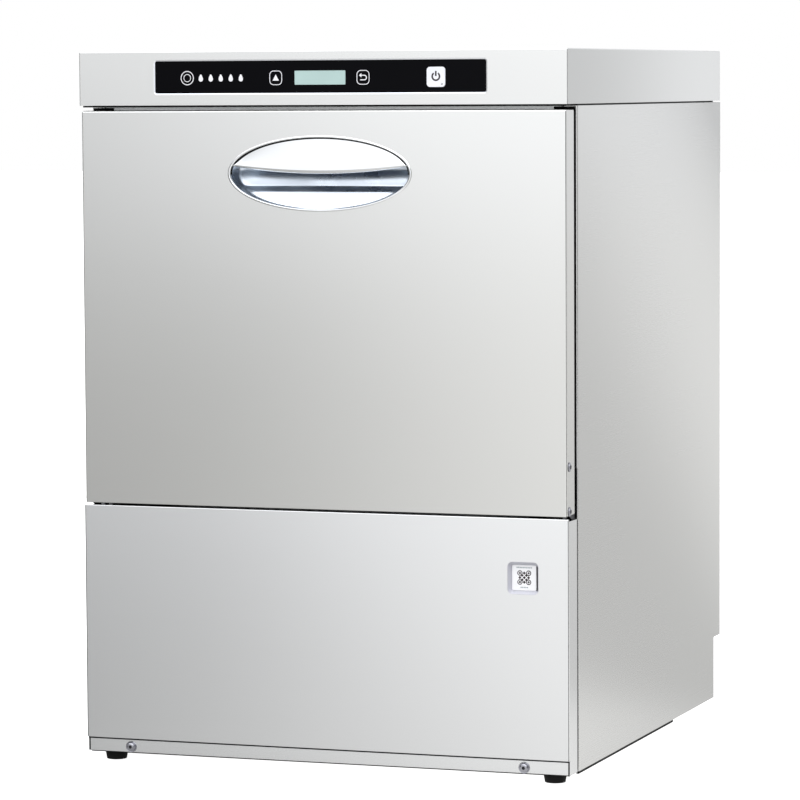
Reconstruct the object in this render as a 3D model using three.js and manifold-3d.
// An undercounter commercial dishwasher with a drop-down door, as a three.js scene graph.
// Millimetres, +Z up. The origin is on the floor, midway between the sides and midway between
// front and back. The door faces -Y, and +X is to the right of someone who faces the door.
import * as THREE from "three";
import { mergeVertices } from "three/addons/utils/BufferGeometryUtils.js";
import Module from "manifold-3d";

const wasm = await Module();
wasm.setup();

// ---------------------------------------------------------------- driving dimensions
const WIDTH = 600;
const DEPTH = 660;
const HEIGHT = 840;
const SHEET = 1.2; // folded steel sheet
const GAP = 0.3; // between pieces that touch
const FOOT_HEIGHT = 12; // floor to the underside of the base
const COVER_HEIGHT = 63;
const COVER_PROUD = 1; // the cover stands this far in front of the door and lower panel
const DOOR_TOP = 771;
const DOOR_BOTTOM = 309;
const DOOR_INSET = 2; // each side of the door, inside the cabinet's width
const DOOR_DEPTH = 28.5;
const LOWER_PANEL_TOP = 304;
const PLINTH_TOP = 29; // the lower panel's face ends here, and the base strip shows below
const PLINTH_RECESS = 5;
const PANEL_GAP = 4; // from the lower panel's folded sides to the side panels
const SIDE_SETBACK = 38; // from the cover's front to the side panels' front edge
const STEP_HEIGHT = 90; // the back of the cabinet steps in below this
const STEP_DEPTH = 30;

const HALF = WIDTH / 2;
const FRONT = -DEPTH / 2;
const BACK = DEPTH / 2;
const FACE = FRONT + COVER_PROUD; // front of the door and of the lower panel
const COVER_BOTTOM = HEIGHT - COVER_HEIGHT;
const SIDE_FRONT = FRONT + SIDE_SETBACK;
const SIDE_TOP = COVER_BOTTOM - 2;
const STEP_Y = BACK - STEP_DEPTH;
const PLINTH_Y = FACE + PLINTH_RECESS;
const INNER_HALF = HALF - SHEET - GAP; // what fits between the side panels
const SIDES = { left: -1, right: 1 };

// Hinge of the door, on an axis along X.
const HINGE_Y = FACE + 13;
const HINGE_Z = DOOR_BOTTOM + 17;
const HINGE_PIN_R = 4;
// Each hinge arm's tail carries a stub at this distance behind and below the hinge. The stub
// turns through 90 degrees from 45 below the hinge to 45 above it, and lifts a spring rod.
const TAIL = 22;
const TAIL_Y = HINGE_Y + TAIL;
const TAIL_Z = HINGE_Z - TAIL;
const STUB_R = 3.5;
const DOOR_HALF = HALF - DOOR_INSET;
const DOOR_BACK = FACE + DOOR_DEPTH;
const ARM_PLATE = 3.5;
const ARM_X = DOOR_HALF - SHEET - GAP - ARM_PLATE; // inner face of the hinge arm plate
const EAR_X = 277; // inner face of the fixed hinge ear
const EAR_PLATE = 3;
const ROD_X = 287;
const ROD_Y = TAIL_Y + 13;
const SPRING_SEAT_Z = 200;
const SPRING_FOOT_Z = 78;

// Handle: an oval cup let into the door.
const HANDLE_Z = 698;
const HANDLE_RX = 109.5;
const HANDLE_RZ = 40.7;
const HANDLE_DEPTH = 31;
const OVAL_SIDES = 48;

// Control strip in the cover's front.
const STRIP_HALF = 204;
const STRIP_BOTTOM = 790;
const STRIP_TOP = 829;
const KEY_Z = 808.3;
const GLASS_FRONT = FRONT + 1.2;
const GLASS_THICK = 3;
const KEYS = {
  start_key: { x: 143, width: 22.4, height: 23, corner: 4 },
  up_key: { x: -52.4, width: 17, height: 18, corner: 6 },
  return_key: { x: 54.8, width: 17, height: 18, corner: 6 },
};
const DISPLAY = { x: 1.8, width: 62.4, height: 16.2 };

// Wash chamber and what turns in it.
const CHAMBER_HALF = 264;
const CHAMBER_FRONT = SIDE_FRONT + SHEET + GAP;
const CHAMBER_BACK = 247.5;
const CHAMBER_FLOOR = 336;
const CHAMBER_TOP = 766;
const TANK = { half: 222, front: -240, back: 190, floor: 246 };
const OPENING = { half: 250, bottom: 345, top: 745 };
const CENTRE_Y = -29; // the wash arms turn about this line, and the rack is centred on it
const RAIL_Z = 412.5;
const RACK_SIDE = 500;
const RACK_HEIGHT = 100;
const ARM_REACH = 235;
const SPINDLE_R = 8;
const HUB_BORE_R = 8.8;

const FEET = {
  front: { x: 274, y: -300 },
  rear: { x: 252, y: 262 },
  pad_r: 13.2,
  stud_r: 4,
  stud_top: 42,
};
const PANEL_SCREW = { x: 244.5, z: 18.5 };
const DOOR_SCREW_HEIGHTS = { upper: 365.5, lower: 314.5 };
const DOOR_SCREW_Y = FACE + 8.5;
const POCKET = { x: 245, z: 237.5, size: 36, corner: 5, depth: 6 };

// ---------------------------------------------------------------- materials
function metal(color, roughness) {
  return new THREE.MeshStandardMaterial({ color, roughness, metalness: 1, flatShading: true });
}
function plain(color, roughness) {
  return new THREE.MeshStandardMaterial({ color, roughness, metalness: 0, flatShading: true });
}
const MATERIALS = {
  brushed_steel: metal(0xd2d3d1, 0.34),
  polished_steel: metal(0xe4e6e8, 0.08),
  inner_steel: metal(0xbfc2c2, 0.3),
  zinc: metal(0xa9acae, 0.45),
  black_glass: plain(0x0b0c10, 0.08),
  white_key: plain(0xf2f4fa, 0.3),
  display: plain(0xbfe0d4, 0.25),
  label: plain(0xf7f7fa, 0.5),
  black_rubber: plain(0x101010, 0.75),
  black_plastic: plain(0x17181a, 0.5),
  grey_plastic: plain(0x8d9396, 0.5),
  blue_plastic: plain(0x2f5f8f, 0.45),
  white_plastic: plain(0xdfe2e2, 0.45),
  board: plain(0x1f5a38, 0.55),
};

// ---------------------------------------------------------------- solids
// A closed three.js geometry as a solid that can be joined and cut.
function solid(geometry) {
  const bare = geometry.clone();
  bare.deleteAttribute("normal");
  bare.deleteAttribute("uv");
  const merged = mergeVertices(bare, 1e-4);
  return new wasm.Manifold(
    new wasm.Mesh({
      numProp: 3,
      vertProperties: merged.attributes.position.array,
      triVerts: new Uint32Array(merged.index.array),
    }),
  );
}

function geometryOf(made) {
  const mesh = made.getMesh();
  return new THREE.BufferGeometry()
    .setAttribute("position", new THREE.BufferAttribute(mesh.vertProperties, 3))
    .setIndex(new THREE.BufferAttribute(mesh.triVerts, 1));
}

function join(first, ...others) {
  return others.reduce((sum, other) => sum.add(other), first);
}

function cut(from, ...others) {
  return others.reduce((rest, other) => rest.subtract(other), from);
}

// A box between two opposite corners, whichever way round they are given.
function block([x0, x1], [y0, y1], [z0, z1]) {
  const size = [Math.abs(x1 - x0), Math.abs(y1 - y0), Math.abs(z1 - z0)];
  const box = new THREE.BoxGeometry(...size);
  box.translate((x0 + x1) / 2, (y0 + y1) / 2, (z0 + z1) / 2);
  return solid(box);
}

// Turns geometry whose own axis is +Z so that it lies along a world axis, at two other coordinates.
const ALONG = {
  x: new THREE.Matrix4().makeBasis(
    new THREE.Vector3(0, 1, 0),
    new THREE.Vector3(0, 0, 1),
    new THREE.Vector3(1, 0, 0),
  ),
  y: new THREE.Matrix4().makeBasis(
    new THREE.Vector3(0, 0, 1),
    new THREE.Vector3(1, 0, 0),
    new THREE.Vector3(0, 1, 0),
  ),
  z: new THREE.Matrix4(),
};
const PLACE = {
  x: (u, v, w) => [w, u, v],
  y: (u, v, w) => [v, w, u],
  z: (u, v, w) => [u, v, w],
};

// A round bar along x, y or z. u and v are the other two coordinates in the order
// (y, z) for x, (z, x) for y and (x, y) for z.
function bar(axis, radius, from, to, u, v, sides = 20) {
  const length = Math.abs(to - from);
  const round = new THREE.CylinderGeometry(radius, radius, length, sides);
  round.rotateX(Math.PI / 2);
  round.applyMatrix4(ALONG[axis]);
  round.translate(...PLACE[axis](u, v, (from + to) / 2));
  return solid(round);
}

// A shape drawn in the plane across an axis, extruded from one coordinate to another.
function extruded(axis, shape, from, to, curveSegments = 8) {
  const sheet = new THREE.ExtrudeGeometry(shape, {
    depth: to - from,
    bevelEnabled: false,
    curveSegments,
  });
  sheet.translate(0, 0, from);
  sheet.applyMatrix4(ALONG[axis]);
  return solid(sheet);
}

function polygon(points) {
  return new THREE.Shape(points.map(([u, v]) => new THREE.Vector2(u, v)));
}

function roundedRectangle(u, v, width, height, corner) {
  const [u0, u1, v0, v1] = [u - width / 2, u + width / 2, v - height / 2, v + height / 2];
  const shape = new THREE.Shape();
  shape.moveTo(u0 + corner, v0);
  shape.lineTo(u1 - corner, v0);
  shape.absarc(u1 - corner, v0 + corner, corner, -Math.PI / 2, 0);
  shape.lineTo(u1, v1 - corner);
  shape.absarc(u1 - corner, v1 - corner, corner, 0, Math.PI / 2);
  shape.lineTo(u0 + corner, v1);
  shape.absarc(u0 + corner, v1 - corner, corner, Math.PI / 2, Math.PI);
  shape.lineTo(u0, v0 + corner);
  shape.absarc(u0 + corner, v0 + corner, corner, Math.PI, Math.PI * 1.5);
  return shape;
}

// A profile of [radius, height] points, which starts and ends on the axis, turned about z.
function turned(profile, x, y, sides = 20) {
  const points = profile.map(([r, z]) => new THREE.Vector2(r, z));
  const lathe = new THREE.LatheGeometry(points, sides);
  lathe.rotateX(Math.PI / 2);
  lathe.translate(x, y, 0);
  return solid(lathe);
}

// A round tube of a given radius along a smooth curve through the points.
function tube(points, radius, steps = 24, sides = 10) {
  const curve = new THREE.CatmullRomCurve3(points.map((p) => new THREE.Vector3(...p)));
  const section = new THREE.Shape();
  section.absarc(0, 0, radius, 0, Math.PI * 2);
  const swept = new THREE.ExtrudeGeometry(section, {
    steps,
    extrudePath: curve,
    curveSegments: sides / 2,
  });
  return solid(swept);
}

// ---------------------------------------------------------------- outer casing
function topCover() {
  const shell = cut(
    block([-HALF, HALF], [FRONT, BACK], [COVER_BOTTOM, HEIGHT]),
    block(
      [-HALF + SHEET, HALF - SHEET],
      [FRONT + SHEET, BACK - SHEET],
      [COVER_BOTTOM - 1, HEIGHT - SHEET],
    ),
  );
  const lip = block(
    [-HALF + SHEET / 2, HALF - SHEET / 2],
    [FRONT + SHEET / 2, FRONT + 26],
    [COVER_BOTTOM, COVER_BOTTOM + SHEET],
  );
  const stripHeight = STRIP_TOP - STRIP_BOTTOM;
  const stripMiddle = (STRIP_TOP + STRIP_BOTTOM) / 2;
  const window = extruded(
    "y",
    roundedRectangle(stripMiddle, 0, stripHeight, STRIP_HALF * 2, 3),
    FRONT - 1,
    FRONT + SHEET + 1,
    4,
  );
  return cut(join(shell, lip), window);
}

function keyHole({ x, width, height, corner }) {
  const shape = roundedRectangle(KEY_Z, x, height + 2 * GAP, width + 2 * GAP, corner);
  return extruded("y", shape, GLASS_FRONT - 1, GLASS_FRONT + GLASS_THICK + 1, 4);
}

function controlGlass() {
  const height = STRIP_TOP - STRIP_BOTTOM - 2 * GAP;
  const width = 2 * (STRIP_HALF - GAP);
  const outline = roundedRectangle((STRIP_TOP + STRIP_BOTTOM) / 2, 0, height, width, 3);
  const plate = extruded("y", outline, GLASS_FRONT, GLASS_FRONT + GLASS_THICK, 4);
  const pane = { ...DISPLAY, corner: 1 };
  return cut(plate, keyHole(pane), ...Object.values(KEYS).map(keyHole));
}

function displayWindow() {
  const shape = roundedRectangle(KEY_Z, DISPLAY.x, DISPLAY.height, DISPLAY.width, 1);
  return extruded("y", shape, GLASS_FRONT, GLASS_FRONT + GLASS_THICK + 1, 2);
}

function key({ x, width, height, corner }) {
  const shape = roundedRectangle(KEY_Z, x, height, width, corner);
  return extruded("y", shape, GLASS_FRONT - 0.5, GLASS_FRONT + GLASS_THICK + 1, 4);
}

// Green board behind the glass, with the display's module on it.
function controlBoard() {
  const face = GLASS_FRONT + 7;
  return join(
    block([-110, 170], [face, face + 1.6], [792, 826]),
    block([DISPLAY.x - 36, DISPLAY.x + 36], [face - 1.8, face + 1], [797, 820]),
    block([80, 110], [face + 1, face + 12], [796, 822]),
  );
}

function sidePanel(side) {
  const outline = polygon([
    [SIDE_FRONT, FOOT_HEIGHT],
    [STEP_Y, FOOT_HEIGHT],
    [STEP_Y, STEP_HEIGHT],
    [BACK, STEP_HEIGHT],
    [BACK, SIDE_TOP],
    [SIDE_FRONT, SIDE_TOP],
  ]);
  const [inner, outer] = [HALF - SHEET, HALF];
  const span = side > 0 ? [inner, outer] : [-outer, -inner];
  const sheet = extruded("x", outline, ...span);
  const lip = block(
    [side * 284, side * (HALF - SHEET / 2)],
    [SIDE_FRONT, SIDE_FRONT + SHEET],
    [FOOT_HEIGHT + SHEET + GAP, SIDE_TOP],
  );
  // The hinge arm's tail swings back through this cut in the lip.
  const tailCut = block(
    [side * 283, side * (HALF - SHEET)],
    [SIDE_FRONT - 1, SIDE_FRONT + SHEET + 1],
    [285, 362],
  );
  return join(sheet, cut(lip, tailCut));
}

function backPanel() {
  const plate = block([-INNER_HALF, INNER_HALF], [BACK - SHEET, BACK], [STEP_HEIGHT, SIDE_TOP]);
  const shelf = block(
    [-INNER_HALF, INNER_HALF],
    [STEP_Y + GAP, BACK - SHEET / 2],
    [STEP_HEIGHT, STEP_HEIGHT + SHEET],
  );
  const vents = [];
  for (let row = 0; row < 4; row++) {
    for (const side of [-1, 1]) {
      const z = 690 + row * 14;
      vents.push(block([side * 90, side * 230], [BACK - 5, BACK + 1], [z, z + 5]));
    }
  }
  return cut(join(plate, shelf), ...vents);
}

const INLET = { x: -200, z: 60, r: 13 };
const OUTLET = { x: 190, z: 52, r: 14 };
const GLAND = { x: -60, z: 58, r: 11 };

function rearServicePlate() {
  const plate = block([-INNER_HALF, INNER_HALF], [STEP_Y - SHEET, STEP_Y], [15, STEP_HEIGHT - GAP]);
  const holes = [INLET, OUTLET, GLAND].map(({ x, z, r }) =>
    bar("y", r + 1, STEP_Y - 10, STEP_Y + 10, z, x),
  );
  return cut(plate, ...holes);
}

function baseFrame() {
  const rear = STEP_Y - SHEET - GAP;
  const sheet = SHEET;
  const floor = block([-INNER_HALF, INNER_HALF], [PLINTH_Y, rear], [FOOT_HEIGHT, FOOT_HEIGHT + sheet]);
  const strip = block([-INNER_HALF, INNER_HALF], [PLINTH_Y, PLINTH_Y + sheet], [FOOT_HEIGHT, 46]);
  const rearFlange = block([-INNER_HALF, INNER_HALF], [rear - sheet, rear], [FOOT_HEIGHT, 14.7]);
  const made = [strip, rearFlange];
  const holes = [];
  for (const side of [-1, 1]) {
    made.push(
      block(
        [side * (INNER_HALF - sheet), side * INNER_HALF],
        [SIDE_FRONT + 4, rear],
        [FOOT_HEIGHT, 60],
      ),
      // A skid along the underside, which stands a little lower than the side panels.
      block([side * 284, side * 296], [-284, 107], [FOOT_HEIGHT - 2, FOOT_HEIGHT + sheet / 2]),
    );
    holes.push(bar("y", 3.5, PLINTH_Y - 5, PLINTH_Y + 10, PANEL_SCREW.z, side * PANEL_SCREW.x));
    for (const { x, y } of [FEET.front, FEET.rear]) {
      holes.push(bar("z", FEET.stud_r + 0.8, FOOT_HEIGHT - 5, 30, side * x, y));
    }
  }
  return cut(join(floor, ...made), ...holes);
}

function pocketOutline(size, corner) {
  return roundedRectangle(POCKET.z, POCKET.x, size, size, corner);
}

function lowerFrontPanel() {
  const back = SIDE_FRONT - PANEL_GAP;
  const [left, right] = [-HALF + SHEET, HALF - SHEET];
  const shell = cut(
    block([-HALF, HALF], [FACE, back], [FOOT_HEIGHT, LOWER_PANEL_TOP]),
    block([left, right], [FACE + SHEET, back + 1], [FOOT_HEIGHT - 1, LOWER_PANEL_TOP - SHEET]),
    // The top flange stops short of the sides' depth, with a cut at each hinge arm's tail.
    block([left, right], [FACE + 27, back + 1], [LOWER_PANEL_TOP - 2, LOWER_PANEL_TOP + 1]),
    block([left, -282], [FACE + 9, back + 1], [LOWER_PANEL_TOP - 2, LOWER_PANEL_TOP + 1]),
    block([282, right], [FACE + 9, back + 1], [LOWER_PANEL_TOP - 2, LOWER_PANEL_TOP + 1]),
    block([-HALF - 1, HALF + 1], [FACE - 1, PLINTH_Y], [FOOT_HEIGHT - 1, PLINTH_TOP]),
  );
  const { size, corner, depth } = POCKET;
  const pan = extruded("y", pocketOutline(size + 2 * SHEET, corner + SHEET), FACE, FACE + depth + SHEET, 4);
  const hollow = extruded("y", pocketOutline(size, corner), FACE - 1, FACE + depth, 4);
  return cut(join(shell, pan), hollow);
}

function serviceLabel() {
  const back = FACE + POCKET.depth - GAP;
  return extruded("y", pocketOutline(29, 1.5), back - 0.6, back, 2);
}

// ---------------------------------------------------------------- fasteners and feet
// A domed screw with a hexagon socket. The head's underside is at the origin, and it faces +Z.
function domedScrew(headRadius, headHeight, shankRadius, shankLength) {
  const profile = [
    [0, -shankLength],
    [shankRadius, -shankLength],
    [shankRadius, 0],
    [headRadius, 0],
    [headRadius, headHeight * 0.25],
    [headRadius * 0.88, headHeight * 0.7],
    [headRadius * 0.6, headHeight],
    [0, headHeight],
  ];
  const socket = bar("z", headRadius * 0.34, headHeight * 0.4, headHeight + 1, 0, 0, 6);
  return cut(turned(profile, 0, 0, 20), socket);
}

function panelScrew(side) {
  const screw = new THREE.Group();
  const mesh = new THREE.Mesh(geometryOf(domedScrew(6, 3.2, 3, 12)), MATERIALS.polished_steel);
  mesh.name = side < 0 ? "panel_screw_left" : "panel_screw_right";
  screw.add(mesh);
  screw.position.set(side * PANEL_SCREW.x, PLINTH_Y - GAP, PANEL_SCREW.z);
  screw.rotation.x = Math.PI / 2;
  return screw;
}

function doorScrew(side, height, name) {
  const screw = new THREE.Group();
  const mesh = new THREE.Mesh(geometryOf(domedScrew(5.5, 1.6, 2.5, 5)), MATERIALS.polished_steel);
  mesh.name = name;
  screw.add(mesh);
  screw.position.set(side * (DOOR_HALF + GAP), DOOR_SCREW_Y, height);
  screw.rotation.y = (side * Math.PI) / 2;
  return screw;
}

function foot(side, { x, y }) {
  const r = FEET.pad_r;
  const profile = [
    [0, 0],
    [r - 1.2, 0],
    [r, 6.5],
    [r - 0.8, FOOT_HEIGHT - GAP],
    [FEET.stud_r, FOOT_HEIGHT - GAP],
    [FEET.stud_r, FEET.stud_top],
    [0, FEET.stud_top],
  ];
  return turned(profile, side * x, y, 24);
}

// ---------------------------------------------------------------- door
function ovalBar(rx, rz, from, to, taper = 1) {
  const oval = new THREE.CylinderGeometry(taper, 1, to - from, OVAL_SIDES);
  oval.scale(rx, 1, rz);
  oval.translate(0, (from + to) / 2, HANDLE_Z);
  return solid(oval);
}

function doorOuterSkin() {
  const [half, inner] = [DOOR_HALF, DOOR_HALF - SHEET];
  const cornerCuts = [-1, 1].map((side) =>
    block([side * 262, side * inner], [HINGE_Y - 9, DOOR_BACK + 1], [DOOR_BOTTOM - 1, DOOR_BOTTOM + 3]),
  );
  const screwHoles = [-1, 1].flatMap((side) =>
    Object.values(DOOR_SCREW_HEIGHTS).map((z) =>
      bar("x", 3, side * (inner - 1), side * (half + 1), DOOR_SCREW_Y, z),
    ),
  );
  return cut(
    block([-half, half], [FACE, DOOR_BACK], [DOOR_BOTTOM, DOOR_TOP]),
    block([-inner, inner], [FACE + SHEET, DOOR_BACK + 1], [DOOR_BOTTOM + SHEET, DOOR_TOP - SHEET]),
    // The bottom flange is shallow, so that it clears the seal as the door drops open.
    block([-inner, inner], [HINGE_Y + 7, DOOR_BACK + 1], [DOOR_BOTTOM - 1, DOOR_BOTTOM + 3]),
    ...cornerCuts,
    ...screwHoles,
    ovalBar(HANDLE_RX + 0.8, HANDLE_RZ + 0.8, FACE - 1, FACE + SHEET + 1),
  );
}

function doorInnerLiner() {
  const [half, bottom, top] = [272, HINGE_Z - 8, DOOR_TOP - SHEET - 4];
  const pan = cut(
    block([-half, half], [DOOR_BACK - 17, DOOR_BACK], [bottom, top]),
    block(
      [-half + SHEET, half - SHEET],
      [DOOR_BACK - 18, DOOR_BACK - SHEET],
      [bottom + SHEET, top - SHEET],
    ),
  );
  const flangeHalf = DOOR_HALF - SHEET - GAP;
  const flange = block(
    [-flangeHalf, flangeHalf],
    [DOOR_BACK - SHEET, DOOR_BACK],
    [OPENING.bottom, DOOR_TOP - SHEET - GAP],
  );
  const [embossHalf, embossLow, embossHigh, rise] = [238, 354, 736, 6.5];
  const emboss = block(
    [-embossHalf, embossHalf],
    [DOOR_BACK - SHEET, DOOR_BACK + rise],
    [embossLow, embossHigh],
  );
  const embossHollow = block(
    [-embossHalf + SHEET, embossHalf - SHEET],
    [DOOR_BACK - 2 * SHEET, DOOR_BACK + rise - SHEET],
    [embossLow + SHEET, embossHigh - SHEET],
  );
  return cut(join(pan, flange, emboss), embossHollow);
}

// The cup has a rim on the door's face, and a flap across its upper part that fingers hook behind.
function doorHandleCup() {
  const wall = 1.5;
  const back = FACE + HANDLE_DEPTH;
  const taper = 0.8;
  const rim = ovalBar(HANDLE_RX + 3.5, HANDLE_RZ + 3.3, FRONT, FACE - GAP);
  const body = ovalBar(HANDLE_RX, HANDLE_RZ, FACE - GAP - 0.3, back, taper);
  const hollow = ovalBar(HANDLE_RX - wall, HANDLE_RZ - wall, FRONT - 0.5, back - wall, taper);
  const flapEdge = new THREE.Shape();
  flapEdge.moveTo(HANDLE_Z + 60, -HANDLE_RX - 9);
  flapEdge.lineTo(HANDLE_Z + 9.5, -HANDLE_RX - 9);
  flapEdge.quadraticCurveTo(HANDLE_Z - 7, 0, HANDLE_Z + 9.5, HANDLE_RX + 9);
  flapEdge.lineTo(HANDLE_Z + 60, HANDLE_RX + 9);
  const flapSlab = extruded("y", flapEdge, FACE + 1, FACE + 3.5, 16);
  const flap = flapSlab.intersect(ovalBar(HANDLE_RX - 0.5, HANDLE_RZ - 0.5, FACE, back, taper));
  return join(cut(join(rim, body), hollow), flap);
}

function hingeArm(side) {
  const outline = polygon([
    [FACE + 3, DOOR_BOTTOM + 2],
    [FACE + 3, 388],
    [DOOR_BACK - 5, 388],
    [DOOR_BACK - 5, HINGE_Z + 6],
    [TAIL_Y + 5.5, TAIL_Z + 1],
    [TAIL_Y + 5, TAIL_Z - 4],
    [TAIL_Y + 1, TAIL_Z - 6],
    [TAIL_Y - 4, TAIL_Z - 5],
    [HINGE_Y - 3, DOOR_BOTTOM + 2],
  ]);
  const span = [ARM_X, ARM_X + ARM_PLATE].map((x) => side * x).sort((a, b) => a - b);
  const plate = extruded("x", outline, ...span);
  const stub = bar("x", STUB_R, side * (ROD_X - 2.5), side * (ARM_X + 1), TAIL_Y, TAIL_Z);
  const [from, to] = [side * (ARM_X - 1), side * (ARM_X + ARM_PLATE + 1)];
  const pinHole = bar("x", HINGE_PIN_R + 0.5, from, to, HINGE_Y, HINGE_Z, 24);
  const screwHoles = Object.values(DOOR_SCREW_HEIGHTS).map((z) =>
    bar("x", 2.9, from, to, DOOR_SCREW_Y, z),
  );
  return cut(join(plate, stub), pinHole, ...screwHoles);
}

// ---------------------------------------------------------------- hinge and springs in the cabinet
function hingeBracket(side) {
  const faceY = SIDE_FRONT - GAP;
  const ear = block(
    [side * EAR_X, side * (EAR_X + EAR_PLATE)],
    [HINGE_Y, faceY],
    [HINGE_Z - 9, HINGE_Z + 9],
  );
  const earEnd = bar("x", 9, side * EAR_X, side * (EAR_X + EAR_PLATE), HINGE_Y, HINGE_Z, 24);
  const flange = block([side * 262, side * (EAR_X + EAR_PLATE)], [faceY - 1.7, faceY], [309, 336]);
  const pin = bar(
    "x",
    HINGE_PIN_R,
    side * (EAR_X + 1),
    side * (ARM_X + ARM_PLATE),
    HINGE_Y,
    HINGE_Z,
    24,
  );
  return join(ear, earEnd, flange, pin);
}

function springSeat(side) {
  const lipBack = SIDE_FRONT + SHEET + GAP;
  const x = [side * 276, side * 297];
  const seat = block(x, [lipBack, ROD_Y + 11], [SPRING_SEAT_Z, SPRING_SEAT_Z + 2]);
  const flange = block(x, [lipBack, lipBack + 2], [SPRING_SEAT_Z, SPRING_SEAT_Z + 32]);
  const hole = bar("z", 3.4, SPRING_SEAT_Z - 1, SPRING_SEAT_Z + 3, side * ROD_X, ROD_Y);
  return cut(join(seat, flange), hole);
}

// The rod's head has a slot across it, in which the tail's stub slides as it lifts the rod.
function springRod(side) {
  const x = side * ROD_X;
  const rod = bar("z", 2.5, SPRING_FOOT_Z - 14, TAIL_Z - 8, x, ROD_Y, 12);
  const head = block([x - 2.2, x + 2.2], [TAIL_Y - 9, TAIL_Y + 19], [TAIL_Z - 9.5, TAIL_Z + 9.5]);
  const play = STUB_R + 1.4;
  const slot = block([x - 3, x + 3], [TAIL_Y - play, TAIL_Y + 9.2 + play], [TAIL_Z - play, TAIL_Z + play]);
  const nut = bar("z", 8.5, SPRING_FOOT_Z - 8, SPRING_FOOT_Z - GAP, x, ROD_Y, 6);
  return cut(join(rod, head, nut), slot);
}

function balanceSpring(side) {
  const top = SPRING_SEAT_Z - GAP;
  const outer = bar("z", 8, SPRING_FOOT_Z, top, side * ROD_X, ROD_Y, 16);
  const inner = bar("z", 4.6, SPRING_FOOT_Z - 1, top + 1, side * ROD_X, ROD_Y, 16);
  return cut(outer, inner);
}

// ---------------------------------------------------------------- wash chamber
function frontFrame() {
  const plate = cut(
    block([-282, 282], [SIDE_FRONT, SIDE_FRONT + SHEET], [306, SIDE_TOP]),
    block(
      [-OPENING.half, OPENING.half],
      [SIDE_FRONT - 1, SIDE_FRONT + SHEET + 1],
      [OPENING.bottom, OPENING.top],
    ),
  );
  const flanges = [-1, 1].map((side) =>
    block([side * 280.5, side * 282], [SIDE_FRONT, SIDE_FRONT + 20], [306, SIDE_TOP]),
  );
  return join(plate, ...flanges);
}

function doorSeal() {
  const middle = (OPENING.bottom + OPENING.top) / 2;
  const height = OPENING.top - OPENING.bottom;
  const width = OPENING.half * 2;
  const shape = roundedRectangle(middle, 0, height + 16, width + 16, 22);
  shape.holes.push(roundedRectangle(middle, 0, height - 8, width - 8, 10));
  return extruded("y", shape, DOOR_BACK + GAP, SIDE_FRONT - GAP, 6);
}

function washChamber() {
  const t = SHEET;
  const { half, front, back, floor } = TANK;
  const outer = join(
    block([-CHAMBER_HALF, CHAMBER_HALF], [CHAMBER_FRONT, CHAMBER_BACK], [CHAMBER_FLOOR, CHAMBER_TOP]),
    block([-half, half], [front, back], [floor, CHAMBER_FLOOR + 1]),
  );
  const inner = join(
    block(
      [-CHAMBER_HALF + t, CHAMBER_HALF - t],
      [CHAMBER_FRONT - 1, CHAMBER_BACK - t],
      [CHAMBER_FLOOR + t, CHAMBER_TOP - t],
    ),
    block([-half + t, half - t], [front + t, back - t], [floor + t, CHAMBER_FLOOR + 2 * t]),
  );
  const postHole = bar("z", 16, floor - 2, floor + 4, 0, CENTRE_Y);
  const suctionHole = bar("z", 17, floor - 2, floor + 4, PUMP.suctionX, PUMP.y);
  const riserHole = block([-16, 16], [228, 244], [CHAMBER_FLOOR - 2, CHAMBER_FLOOR + 4]);
  const drainHole = bar("z", 13, floor - 2, floor + 4, DRAIN_PUMP.x, DRAIN_PUMP.y);
  return cut(outer, inner, postHole, suctionHole, riserHole, drainHole);
}

function rackRail(side) {
  const wall = CHAMBER_HALF - SHEET - GAP;
  const [from, to] = [CENTRE_Y - RACK_SIDE / 2, CENTRE_Y + RACK_SIDE / 2 + 10];
  return join(
    block([side * 238, side * wall], [from, to], [RAIL_Z - SHEET, RAIL_Z]),
    block([side * (wall - SHEET), side * wall], [from, to], [RAIL_Z - 18, RAIL_Z]),
    block([side * 238, side * (238 + SHEET)], [from, to], [RAIL_Z - 8, RAIL_Z]),
  );
}

// An open crate with a lattice floor and slotted walls.
function dishRack() {
  const half = RACK_SIDE / 2;
  const [wall, floor] = [4, 5];
  const bottom = RAIL_Z + GAP;
  const top = bottom + RACK_HEIGHT;
  const y0 = CENTRE_Y - half;
  const y1 = CENTRE_Y + half;
  const crate = cut(
    block([-half, half], [y0, y1], [bottom, top]),
    block([-half + wall, half - wall], [y0 + wall, y1 - wall], [bottom + floor, top + 1]),
  );
  const holes = [];
  const cells = 8;
  const pitch = (RACK_SIDE - 2 * wall) / cells;
  const opening = pitch - 9;
  for (let i = 0; i < cells; i++) {
    const u = -half + wall + pitch * (i + 0.5);
    for (let j = 0; j < cells; j++) {
      const v = CENTRE_Y - half + wall + pitch * (j + 0.5);
      holes.push(
        block(
          [u - opening / 2, u + opening / 2],
          [v - opening / 2, v + opening / 2],
          [bottom - 1, bottom + floor + 1],
        ),
      );
    }
  }
  for (let i = 0; i < 6; i++) {
    const u = -half + 44 + i * 82.4;
    for (const z of [bottom + 14, bottom + 54]) {
      const tall = [z, z + 30];
      holes.push(block([u - 34, u + 34], [y0 - 1, y1 + 1], tall));
      holes.push(block([-half - 1, half + 1], [u + CENTRE_Y - 34, u + CENTRE_Y + 34], tall));
    }
  }
  return cut(crate, ...holes);
}

const SUMP = { x: 110, y: 60, r: 44 };

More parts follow.
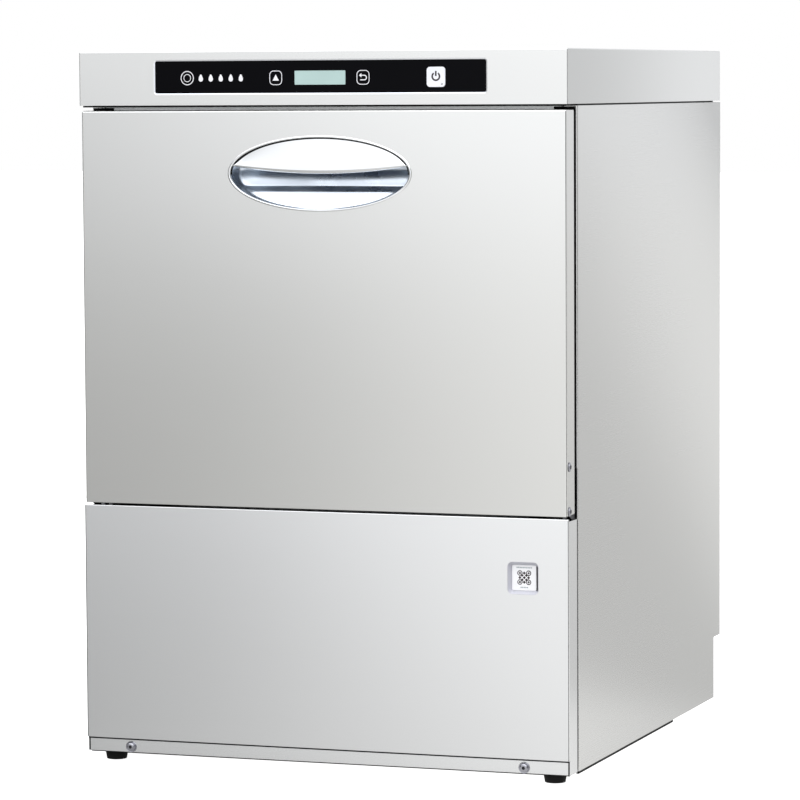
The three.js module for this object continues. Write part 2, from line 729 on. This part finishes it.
// One shallow tray over the tank, in which the sump strainer hangs.
function surfaceFilter() {
  const z = CHAMBER_FLOOR + SHEET + GAP;
  const [half, front, back] = [TANK.half + 6, TANK.front - 6, TANK.back + 6];
  const tray = cut(
    block([-half, half], [front, back], [z, z + 9]),
    block([-half + SHEET, half - SHEET], [front + SHEET, back - SHEET], [z + SHEET, z + 10]),
  );
  const postHole = bar("z", 24, z - 1, z + 12, 0, CENTRE_Y, 24);
  const sumpHole = bar("z", SUMP.r + 2, z - 1, z + 12, SUMP.x, SUMP.y, 24);
  return cut(tray, postHole, sumpHole);
}

function sumpFilter() {
  const rest = CHAMBER_FLOOR + 2 * SHEET + 2 * GAP;
  const bottom = TANK.floor + 18;
  const profile = [
    [0, bottom],
    [SUMP.r, bottom],
    [SUMP.r, rest],
    [SUMP.r + 7, rest],
    [SUMP.r + 7, rest + 2],
    [SUMP.r - 2, rest + 2],
    [SUMP.r - 2, bottom + 2],
    [0, bottom + 2],
  ];
  const grip = block([SUMP.x - SUMP.r + 1, SUMP.x + SUMP.r - 1], [SUMP.y - 3, SUMP.y + 3], [rest - 4, rest + 2]);
  return join(turned(profile, SUMP.x, SUMP.y, 24), grip);
}

function tankHeater() {
  const wall = -TANK.half + SHEET + GAP;
  const z = TANK.floor + 26;
  return tube(
    [
      [wall, 60, z],
      [-120, 60, z],
      [0, 60, z],
      [30, 70, z],
      [38, 95, z],
      [30, 120, z],
      [0, 130, z],
      [-120, 130, z],
      [wall, 130, z],
    ],
    5,
    36,
    8,
  );
}

function lowerArmPost() {
  const floor = TANK.floor + SHEET + GAP;
  return turned(
    [
      [0, 226],
      [14, 226],
      [14, floor],
      [26, floor],
      [26, floor + 4],
      [14, floor + 8],
      [14, 366],
      [SPINDLE_R, 366],
      [SPINDLE_R, 400.6],
      [13, 400.6],
      [13, 406],
      [9, 409],
      [0, 409],
    ],
    0,
    CENTRE_Y,
    20,
  );
}

// The pipe up the chamber's back wall and along its ceiling, with the upper arms' spindle.
function riserPipe() {
  const [low, high] = [748, 762];
  const spindle = turned(
    [
      [0, 694],
      [9, 694],
      [13, 697],
      [13, 702.4],
      [SPINDLE_R, 702.4],
      [SPINDLE_R, 738],
      [14, 738],
      [14, 744],
      [20, 746],
      [20, high],
      [0, high],
    ],
    0,
    CENTRE_Y,
    20,
  );
  return join(
    block([-15, 15], [229, 243], [300, high]),
    block([-15, 15], [CENTRE_Y, 243], [low, high]),
    spindle,
  );
}

// A spray arm: two tapering blades on a hub that turns on a spindle.
function sprayArm(bottom, bladeHeight, hubHeight, hubRadius, rootHalf, tipHalf, turn) {
  const blade = new THREE.Shape();
  blade.moveTo(-ARM_REACH + tipHalf, -tipHalf);
  blade.lineTo(0, -rootHalf);
  blade.lineTo(ARM_REACH - tipHalf, -tipHalf);
  blade.absarc(ARM_REACH - tipHalf, 0, tipHalf, -Math.PI / 2, Math.PI / 2);
  blade.lineTo(0, rootHalf);
  blade.lineTo(-ARM_REACH + tipHalf, tipHalf);
  blade.absarc(-ARM_REACH + tipHalf, 0, tipHalf, Math.PI / 2, Math.PI * 1.5);
  const lift = (hubHeight - bladeHeight) / 2;
  const blades = extruded("z", blade, lift, lift + bladeHeight, 4);
  const hub = bar("z", hubRadius, 0, hubHeight, 0, 0, 24);
  const bore = bar("z", HUB_BORE_R, -1, hubHeight + 1, 0, 0, 24);
  const arm = geometryOf(cut(join(blades, hub), bore));
  arm.rotateZ(turn);
  arm.translate(0, CENTRE_Y, bottom);
  return solid(arm);
}

// ---------------------------------------------------------------- machine compartment
const PUMP = { y: -110, z: 112, suctionX: 10 };
const DRAIN_PUMP = { x: 190, y: 150 };

// Volute with its moulded suction elbow from the tank.
function washPumpVolute() {
  const { y, z, suctionX: sx } = PUMP;
  const casing = bar("x", 60, 62, 108, y, z, 28);
  const elbow = tube(
    [
      [sx, y, TANK.floor - GAP],
      [sx, y, 190],
      [sx + 4, y, 140],
      [sx + 24, y, z],
      [70, y, z],
    ],
    16,
    14,
    12,
  );
  const outlet = bar("y", 16, y, y + 76, z + 42, 85, 14);
  return join(casing, elbow, outlet);
}

function washPumpMotor() {
  const { y, z } = PUMP;
  return join(
    bar("x", 50, 108 + GAP, 240, y, z, 28),
    block([120, 220], [y - 40, y + 40], [FOOT_HEIGHT + SHEET + GAP, z - 30]),
    block([140, 200], [y - 30, y + 30], [z + 30, z + 72]),
  );
}

// From the pump to the riser, with a branch to the lower arm's post.
function deliveryHose() {
  const z = PUMP.z + 42;
  const main = tube(
    [
      [85, PUMP.y + 76 + GAP, z],
      [85, 0, z],
      [78, 80, z + 6],
      [30, 180, z + 20],
      [0, 232, z + 60],
      [0, 236, 275],
      [0, 236, 299.7],
    ],
    15,
    26,
    12,
  );
  const branch = tube(
    [
      [82, 20, z],
      [50, 0, z + 8],
      [8, -24, z + 30],
      [0, CENTRE_Y, 206],
      [0, CENTRE_Y, 225.7],
    ],
    12,
    14,
    12,
  );
  return join(main, branch);
}

function boiler() {
  const [x, y, r] = [-165, 100, 72];
  const tank = turned(
    [
      [0, 28],
      [r * 0.6, 30],
      [r, 44],
      [r, 200],
      [r * 0.6, 216],
      [0, 220],
    ],
    x,
    y,
    28,
  );
  const legs = [0, 1, 2].map((i) => {
    const angle = (i * 2 * Math.PI) / 3;
    const [u, v] = [x + 50 * Math.cos(angle), y + 50 * Math.sin(angle)];
    return bar("z", 5, FOOT_HEIGHT + SHEET + GAP, 50, u, v, 10);
  });
  const flange = bar("z", 30, 210, 226, x, y, 20);
  const inside = turned(
    [
      [0, 32],
      [r * 0.58, 34],
      [r - 3, 46],
      [r - 3, 198],
      [r * 0.58, 213],
      [0, 216],
    ],
    x,
    y,
    28,
  );
  const port = bar("z", 6, 20, 40, x, y, 14);
  return cut(join(tank, ...legs, flange), inside, port);
}

function drainPump() {
  const { x, y } = DRAIN_PUMP;
  return join(
    bar("z", 34, 30, 90, x, y, 24),
    bar("z", 22, 90, 140, x, y, 20),
    bar("z", 11, 140, TANK.floor + 1, x, y, 14),
    bar("z", 16, FOOT_HEIGHT + SHEET + GAP, 32, x, y, 14),
    bar("y", OUTLET.r - 1, y, BACK - 8, OUTLET.z, OUTLET.x, 20),
  );
}

function fillValve() {
  const { x, z, r } = INLET;
  return join(
    block([x - 22, x + 22], [232, 282], [z - 20, z + 24]),
    bar("y", r - 1, 280, BACK - 10, z, x, 20),
    bar("y", r + 5, 281, 286, z, x, 6),
    block([x - 16, x + 16], [240, 272], [FOOT_HEIGHT + SHEET + GAP, z]),
  );
}

function cableGland() {
  const { x, z, r } = GLAND;
  return join(
    bar("y", r - 1, STEP_Y - 16, STEP_Y + 16, z, x, 20),
    bar("y", r + 4, STEP_Y + GAP, STEP_Y + 8, z, x, 6),
    bar("y", r + 4, STEP_Y - SHEET - GAP - 5, STEP_Y - SHEET - GAP, z, x, 6),
  );
}

function electricalBox() {
  return join(
    block([-268, -100], [-282, -214], [60, 220]),
    block([-250, -118], [-262, -232], [FOOT_HEIGHT + SHEET + GAP, 62]),
  );
}

// ---------------------------------------------------------------- assembly
const dishwasher = new THREE.Group();

function add(name, made, material) {
  const mesh = new THREE.Mesh(geometryOf(made), MATERIALS[material]);
  mesh.name = name;
  dishwasher.add(mesh);
}

add("top_cover", topCover(), "brushed_steel");
add("control_glass", controlGlass(), "black_glass");
add("display_window", displayWindow(), "display");
add("control_board", controlBoard(), "board");
for (const [name, shape] of Object.entries(KEYS)) {
  add(name, key(shape), name === "start_key" ? "white_key" : "black_plastic");
}
add("back_panel", backPanel(), "zinc");
add("rear_service_plate", rearServicePlate(), "zinc");
add("base_frame", baseFrame(), "brushed_steel");
add("lower_front_panel", lowerFrontPanel(), "brushed_steel");
add("service_label", serviceLabel(), "label");

add("door_outer_skin", doorOuterSkin(), "brushed_steel");
add("door_inner_liner", doorInnerLiner(), "inner_steel");
add("door_handle_cup", doorHandleCup(), "polished_steel");

for (const [word, side] of Object.entries(SIDES)) {
  add(`side_panel_${word}`, sidePanel(side), "brushed_steel");
  add(`hinge_arm_${word}`, hingeArm(side), "zinc");
  add(`hinge_bracket_${word}`, hingeBracket(side), "zinc");
  add(`spring_seat_${word}`, springSeat(side), "zinc");
  add(`spring_rod_${word}`, springRod(side), "zinc");
  add(`balance_spring_${word}`, balanceSpring(side), "zinc");
  add(`rack_rail_${word}`, rackRail(side), "inner_steel");
  add(`foot_front_${word}`, foot(side, FEET.front), "black_rubber");
  add(`foot_rear_${word}`, foot(side, FEET.rear), "black_rubber");
  dishwasher.add(panelScrew(side));
  for (const [level, z] of Object.entries(DOOR_SCREW_HEIGHTS)) {
    dishwasher.add(doorScrew(side, z, `door_screw_${level}_${word}`));
  }
}

add("front_frame", frontFrame(), "inner_steel");
add("door_seal", doorSeal(), "black_rubber");
add("wash_chamber", washChamber(), "inner_steel");
add("dish_rack", dishRack(), "blue_plastic");
add("surface_filter", surfaceFilter(), "inner_steel");
add("sump_filter", sumpFilter(), "white_plastic");
add("tank_heater", tankHeater(), "zinc");
add("lower_arm_post", lowerArmPost(), "grey_plastic");
add("riser_pipe", riserPipe(), "inner_steel");
add("lower_wash_arm", sprayArm(366.4, 12, 17, 24, 22, 14, 0), "inner_steel");
add("lower_rinse_arm", sprayArm(384, 8, 16, 16, 11, 7, Math.PI / 2), "inner_steel");
add("upper_wash_arm", sprayArm(720.6, 12, 17, 24, 22, 14, 0), "inner_steel");
add("upper_rinse_arm", sprayArm(703, 8, 17, 16, 11, 7, Math.PI / 2), "inner_steel");

add("wash_pump_volute", washPumpVolute(), "black_plastic");
add("wash_pump_motor", washPumpMotor(), "zinc");
add("delivery_hose", deliveryHose(), "black_rubber");
add("boiler", boiler(), "inner_steel");
add("drain_pump", drainPump(), "white_plastic");
add("fill_valve", fillValve(), "white_plastic");
add("cable_gland", cableGland(), "black_plastic");
add("electrical_box", electricalBox(), "grey_plastic");

export default dishwasher;
